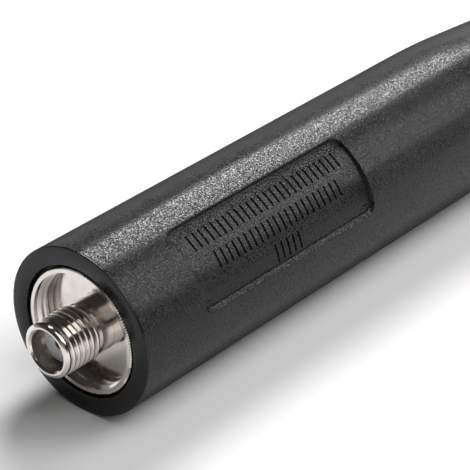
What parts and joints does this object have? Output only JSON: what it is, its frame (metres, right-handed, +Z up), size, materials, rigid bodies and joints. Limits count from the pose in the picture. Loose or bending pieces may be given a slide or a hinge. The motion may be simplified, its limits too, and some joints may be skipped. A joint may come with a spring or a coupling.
{
  "type": "foldable radio antenna",
  "caption": "Handheld radio whip antenna: black moulded base with a label recess, plated collar and coaxial jack, flexible folding neck and slim capped whip.",
  "frame": {"origin": "point where the jack's axis meets the plane of the base's end face", "axes": "+X along the antenna from the jack to the tip, +Z up as the antenna lies on a table; the label panel is on the -Y side, facing up"},
  "size_m": [0.3349, 0.0196, 0.0194],
  "materials": {
    "moulded_black": "fine spark-eroded grain, semi-matt",
    "nickel": "bright nickel plate, turned",
    "white_insulator": "waxy white",
    "gold": "gold plate",
    "seal_rubber": "smooth",
    "core_plastic": "glass-filled nylon",
    "board_laminate": "solder resist",
    "choke_body": "moulded ferrite",
    "chip_ceramic": "fired ceramic",
    "tinned_strip": "tinned copper",
    "turned_brass": "turned brass",
    "spring_steel": "oiled spring steel",
    "braid_copper": "braided copper",
    "sleeve_rubber": "smooth rubber",
    "jacket_rubber": "smooth rubber",
    "cap_black": "moulded, semi-matt"
  },
  "bodies": {
    "base": {"base_housing": "moulded_black", "threaded_collar": "nickel", "sma_jack": "nickel", "jack_dielectric": "white_insulator", "centre_contact": "gold", "jack_seal": "seal_rubber", "jack_lock_ring": "nickel", "core_tube": "core_plastic", "matching_board": "board_laminate", "series_choke": "choke_body", "shunt_choke": "choke_body", "capacitor_front": "chip_ceramic", "capacitor_rear": "chip_ceramic", "ground_strap": "tinned_strip", "feed_lead": "tinned_strip", "lower_ferrule": "turned_brass", "ferrule_pin": "spring_steel"},
    "neck": {"neck_spring": "spring_steel", "neck_lead": "braid_copper", "neck_sleeve": "sleeve_rubber"},
    "whip": {"upper_ferrule": "turned_brass", "radiator_rod": "spring_steel", "whip_core": "core_plastic", "whip_jacket": "jacket_rubber", "tip_cap": "cap_black"}
  },
  "joints": [
    {"name": "lower_fold", "type": "hinge", "parent": "base", "child": "neck", "pos_m": [0.141, 0, 0], "axis": [0, 0, 1], "range_deg": [-90, 90], "stiffness_Nm_per_rad": 0.08, "deforming": ["neck_spring", "neck_lead", "neck_sleeve"]},
    {"name": "upper_fold", "type": "hinge", "parent": "neck", "child": "whip", "pos_m": [0.171, 0, 0], "axis": [0, 0, 1], "range_deg": [-90, 90], "stiffness_Nm_per_rad": 0.08, "deforming": ["neck_spring", "neck_lead", "neck_sleeve"]}
  ],
  "couplings": [
    {"joint": "upper_fold", "follows": "lower_fold", "ratio": 1}
  ]
}
